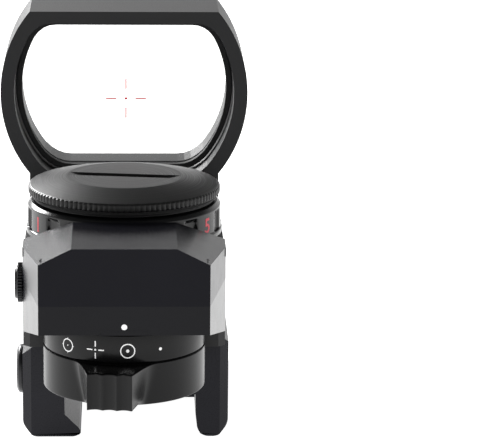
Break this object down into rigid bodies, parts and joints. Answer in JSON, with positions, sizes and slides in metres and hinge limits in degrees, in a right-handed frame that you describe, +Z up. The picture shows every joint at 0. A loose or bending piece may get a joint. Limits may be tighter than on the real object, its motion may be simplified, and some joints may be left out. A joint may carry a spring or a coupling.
{
  "type": "reflex red dot finder",
  "caption": "Rail-mounted reflex red dot finder with a leaning lens hood, brightness dial under a coin-slot battery cap, rotary reticle selector and screw clamp.",
  "frame": {"origin": "middle of the flat rail seat under the body, between the two clamp jaws", "axes": "+Y forwards to the target along the line of sight, +X to the user's right, +Z up"},
  "size_m": [0.039, 0.0761, 0.0591],
  "materials": {
    "cast_black": "black anodised over fine bead blasting, matte with a soft sheen at grazing angles",
    "cover_black": "black painted, smooth satin",
    "dial_black": "moulded black plastic, semi-gloss, with red and green numerals",
    "moulded_black": "moulded black plastic",
    "cap_black": "turned and black anodised, concentric tool marks, soft metallic sheen",
    "rubber": "matte black rubber",
    "glass": "clear polished",
    "mirror": "front-silvered",
    "steel": "bright",
    "dark_steel": "black oxide, satin",
    "brass": "satin",
    "board": "green solder mask",
    "red_diode": "red epoxy",
    "green_diode": "green epoxy",
    "white_mark": "white paint"
  },
  "bodies": {
    "sight_body": {"base_contact": "brass", "base_screw_1": "dark_steel", "base_screw_2": "dark_steel", "base_screw_3": "dark_steel", "base_screw_4": "dark_steel", "battery_hub": "moulded_black", "beam_window": "glass", "clamp_base": "cast_black", "coin_cell": "steel", "cover_screw_left": "dark_steel", "cover_screw_right": "dark_steel", "dial_detent_ball": "steel", "dial_detent_spring": "steel", "diode_board": "board", "green_diode": "green_diode", "guide_pin_front": "steel", "guide_pin_rear": "steel", "hub_screw_left": "steel", "hub_screw_right": "steel", "index_dot": "white_mark", "lens": "glass", "lens_bezel": "rubber", "lower_cover": "cover_black", "main_body": "cast_black", "pivot_screw": "dark_steel", "pivot_sleeve": "brass", "rear_housing": "cover_black", "red_diode": "red_diode", "rheostat_ring": "board", "selector_detent_ball": "steel", "selector_detent_spring": "steel"},
    "dial": {"brightness_dial": "dial_black", "dial_wiper": "brass"},
    "gasket_ring": {"cap_gasket": "rubber"},
    "cap": {"battery_cap": "cap_black", "cap_contact": "brass"},
    "selector": {"selector_drum": "cover_black", "selector_grip": "cover_black", "reticle_mask": "dark_steel"},
    "windage_knob": {"windage_screw": "dark_steel"},
    "windage_carriage": {"prism_carriage": "dark_steel", "prism": "glass"},
    "elevation_knob": {"elevation_screw": "dark_steel"},
    "mirror_mount": {"mirror_block": "dark_steel", "fold_mirror": "mirror"},
    "jaw": {"movable_jaw": "cast_black"},
    "jaw_screw": {"clamp_screw": "dark_steel"}
  },
  "joints": [
    {"name": "dial_turn", "type": "hinge", "parent": "sight_body", "child": "dial", "pos_m": [0, -0.01371, 0.026], "axis": [0, 0, 1], "range_deg": [-150, 150]},
    {"name": "cap_lift", "type": "slide", "parent": "sight_body", "child": "gasket_ring", "axis": [0, 0, 1], "range_m": [0, 0.0022]},
    {"name": "cap_turn", "type": "hinge", "parent": "gasket_ring", "child": "cap", "pos_m": [0, -0.01371, 0.031], "axis": [0, 0, 1], "range_deg": [0, 990.1]},
    {"name": "selector_turn", "type": "hinge", "parent": "sight_body", "child": "selector", "pos_m": [0, -0.03301, 0.01], "axis": [0, 0, 1], "range_deg": [-25, 49]},
    {"name": "windage_turn", "type": "hinge", "parent": "sight_body", "child": "windage_knob", "pos_m": [-0.0152, -0.02601, 0.0186], "axis": [1, 0, 0], "range_deg": [-504.1, 504.1]},
    {"name": "windage_slide", "type": "slide", "parent": "sight_body", "child": "windage_carriage", "axis": [1, 0, 0], "range_m": [-0.0007, 0.0007]},
    {"name": "elevation_turn", "type": "hinge", "parent": "sight_body", "child": "elevation_knob", "pos_m": [0.009, 0.00454, 0.0234], "axis": [0, 0, 1], "range_deg": [-360.1, 360.1]},
    {"name": "elevation_slide", "type": "slide", "parent": "sight_body", "child": "mirror_mount", "axis": [0, 0, 1], "range_m": [-0.0005, 0.0005]},
    {"name": "jaw_slide", "type": "slide", "parent": "sight_body", "child": "jaw", "axis": [-1, 0, 0], "range_m": [0, 0.0045]},
    {"name": "clamp_turn", "type": "hinge", "parent": "jaw", "child": "jaw_screw", "pos_m": [-0.0154, -0.01, 0.0006], "axis": [1, 0, 0], "range_deg": [-2314.4, 0]}
  ],
  "couplings": [
    {"joint": "cap_turn", "follows": "cap_lift", "rad_per_m": 7854},
    {"joint": "windage_turn", "follows": "windage_slide", "rad_per_m": -12566},
    {"joint": "elevation_turn", "follows": "elevation_slide", "rad_per_m": -12566},
    {"joint": "clamp_turn", "follows": "jaw_slide", "rad_per_m": -8976}
  ]
}
